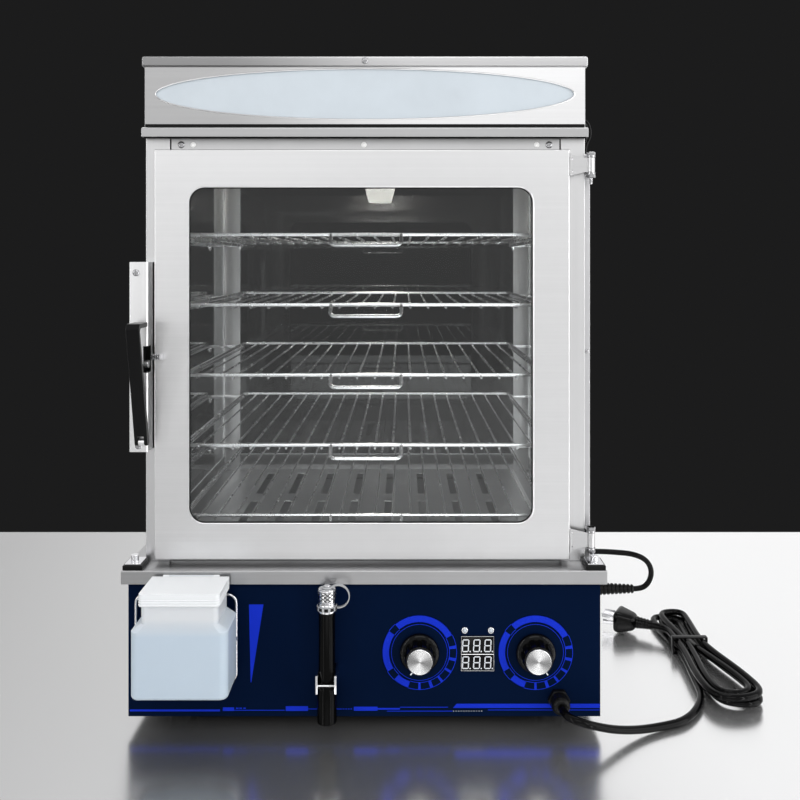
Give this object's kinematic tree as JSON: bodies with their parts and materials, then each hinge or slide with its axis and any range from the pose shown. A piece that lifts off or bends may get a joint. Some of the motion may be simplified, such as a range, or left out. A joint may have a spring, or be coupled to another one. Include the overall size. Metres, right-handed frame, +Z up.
{
  "type": "dumpling steamer cabinet",
  "caption": "Countertop steamer for dumplings and buns: a glass cabinet with wire shelves and a hinged door on a heated water base with a side tank.",
  "frame": {"origin": "centre of the footprint on the floor, midway between the tank's front and the rim's back and without the mains lead", "axes": "+Z up; +X to the right as seen from the door side; +Y from the door towards the back"},
  "size_m": [0.6741, 0.508, 0.688],
  "materials": {
    "stainless_steel": "satin",
    "bright_chrome": "polished",
    "navy_panel": "satin",
    "clear_glass": "gloss",
    "clear_plastic": "gloss",
    "frosted_plastic": "satin",
    "black_plastic": "gloss",
    "black_matte_plastic": "matte",
    "white_plastic": "matte",
    "amber_plastic": "gloss",
    "black_rubber": "matte",
    "cord_rubber": "satin",
    "silicone": "matte",
    "spun_aluminium": "brushed",
    "board_laminate": "matte"
  },
  "bodies": {
    "base": {"base_housing": "stainless_steel", "front_panel": "navy_panel", "bottom_plate": "stainless_steel", "feet": "black_rubber", "deck": "stainless_steel", "water_basin": "stainless_steel", "heating_element": "bright_chrome", "drain_pipe": "black_plastic", "drain_hose": "black_rubber", "drain_nozzle": "bright_chrome", "cap_tether": "frosted_plastic", "hose_clip": "bright_chrome", "timer_body": "white_plastic", "thermostat_body": "white_plastic", "display_module": "black_plastic", "indicator_lamps": "amber_plastic", "mains_gland": "black_matte_plastic", "power_board": "board_laminate", "clamp_pads": "black_rubber", "clamp_screws": "bright_chrome", "water_tank": "clear_plastic", "tank_bracket": "bright_chrome", "mains_lead": "cord_rubber", "mains_hank": "cord_rubber", "mains_tail": "cord_rubber", "mains_plug": "black_plastic", "lead_tie": "black_matte_plastic", "corner_posts": "stainless_steel", "frame_rails": "stainless_steel", "roof_cap": "stainless_steel", "cabinet_glass": "clear_glass", "shelf_runners": "bright_chrome", "chamber_lamp": "frosted_plastic", "hinge_brackets": "bright_chrome", "latch_housing": "stainless_steel", "cable_duct": "spun_aluminium", "lamp_leads": "cord_rubber", "lamp_lead_boot": "black_rubber", "sign_box": "stainless_steel", "sign_diffuser": "frosted_plastic", "sign_lid": "stainless_steel", "sign_light": "white_plastic"},
    "door": {"door_frame": "stainless_steel", "door_glass": "clear_glass", "door_gasket": "silicone", "hinge_straps": "stainless_steel", "striker": "bright_chrome"},
    "latch_lever": {"latch_lever": "black_matte_plastic"},
    "timer_knob": {"timer_knob": "black_plastic", "timer_knob_cap": "spun_aluminium"},
    "thermostat_knob": {"thermostat_knob": "black_plastic", "thermostat_knob_cap": "spun_aluminium"},
    "tank_lid": {"tank_lid": "frosted_plastic"},
    "drain_cap": {"drain_cap": "bright_chrome"},
    "steam_baffle": {"steam_baffle": "stainless_steel"},
    "shelf_1": {"shelf_1": "bright_chrome"},
    "shelf_2": {"shelf_2": "bright_chrome"},
    "shelf_3": {"shelf_3": "bright_chrome"},
    "shelf_4": {"shelf_4": "bright_chrome"},
    "shelf_5": {"shelf_5": "bright_chrome"}
  },
  "joints": [
    {"name": "door_swing", "type": "hinge", "parent": "base", "child": "door", "pos_m": [0.234, -0.175, 0.3805], "axis": [0, 0, 1], "range_deg": [0, 120]},
    {"name": "latch_lever_pull", "type": "hinge", "parent": "base", "child": "latch_lever", "pos_m": [-0.226, -0.1928, 0.293], "axis": [1, 0, 0], "range_deg": [0, 30], "stiffness_Nm_per_rad": 0.5, "springref_deg": -17.19},
    {"name": "timer_knob_turn", "type": "hinge", "parent": "base", "child": "timer_knob", "pos_m": [0.056, -0.192, 0.079], "axis": [0, 1, 0], "range_deg": [0, 300]},
    {"name": "thermostat_knob_turn", "type": "hinge", "parent": "base", "child": "thermostat_knob", "pos_m": [0.174, -0.192, 0.079], "axis": [0, 1, 0], "range_deg": [0, 270]},
    {"name": "tank_lid_flip", "type": "hinge", "parent": "base", "child": "tank_lid", "pos_m": [-0.174, -0.20045, 0.1589], "axis": [-1, 0, 0], "range_deg": [0, 90]},
    {"name": "drain_cap_turn", "type": "hinge", "parent": "base", "child": "drain_cap", "pos_m": [-0.0365, -0.21, 0.14], "axis": [0, 0, 1], "continuous": true},
    {"name": "baffle_lift", "type": "slide", "parent": "base", "child": "steam_baffle", "axis": [0, 0, 1], "range_m": [0, 0.02]},
    {"name": "shelf_1_slide", "type": "slide", "parent": "base", "child": "shelf_1", "axis": [0, -1, 0], "range_m": [0, 0.005]},
    {"name": "shelf_2_slide", "type": "slide", "parent": "base", "child": "shelf_2", "axis": [0, -1, 0], "range_m": [0, 0.005]},
    {"name": "shelf_3_slide", "type": "slide", "parent": "base", "child": "shelf_3", "axis": [0, -1, 0], "range_m": [0, 0.005]},
    {"name": "shelf_4_slide", "type": "slide", "parent": "base", "child": "shelf_4", "axis": [0, -1, 0], "range_m": [0, 0.005]},
    {"name": "shelf_5_slide", "type": "slide", "parent": "base", "child": "shelf_5", "axis": [0, -1, 0], "range_m": [0, 0.005]}
  ]
}
